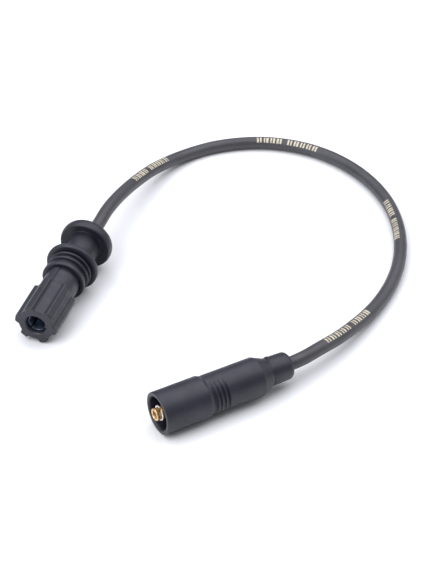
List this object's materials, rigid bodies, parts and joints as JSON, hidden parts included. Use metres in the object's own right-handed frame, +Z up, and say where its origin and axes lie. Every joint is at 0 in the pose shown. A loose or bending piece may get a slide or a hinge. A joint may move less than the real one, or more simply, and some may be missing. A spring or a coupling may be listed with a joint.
{
  "type": "spark plug wire",
  "caption": "Flexible ignition lead lying in a loose curve, with a ribbed coil plug on one end and a rubber boot round a brass pin on the other.",
  "frame": {"origin": "on the surface that the lead lies on, in the middle of the footprint of the two plugs", "axes": "+X along the plug boot from its mouth towards the cable, +Z up"},
  "size_m": [0.2338, 0.2125, 0.029],
  "materials": {
    "boot_rubber": "moulded, satin with a faint bluish sheen",
    "nose_plastic": "moulded, satin",
    "contact_metal": "bright plated",
    "pin_brass": "turned, polished lip",
    "ring_metal": "drawn bright wire",
    "jacket_rubber": "extruded, satin, with small cream marks",
    "core_metal": "plain conductor"
  },
  "bodies": {
    "root": {"plug_boot": "boot_rubber", "coil_boot": "boot_rubber", "coil_sleeve": "nose_plastic", "coil_contact": "contact_metal", "plug_pin": "pin_brass", "plug_snap_ring": "ring_metal", "cable_jacket": "jacket_rubber", "cable_core": "core_metal"}
  },
  "joints": []
}
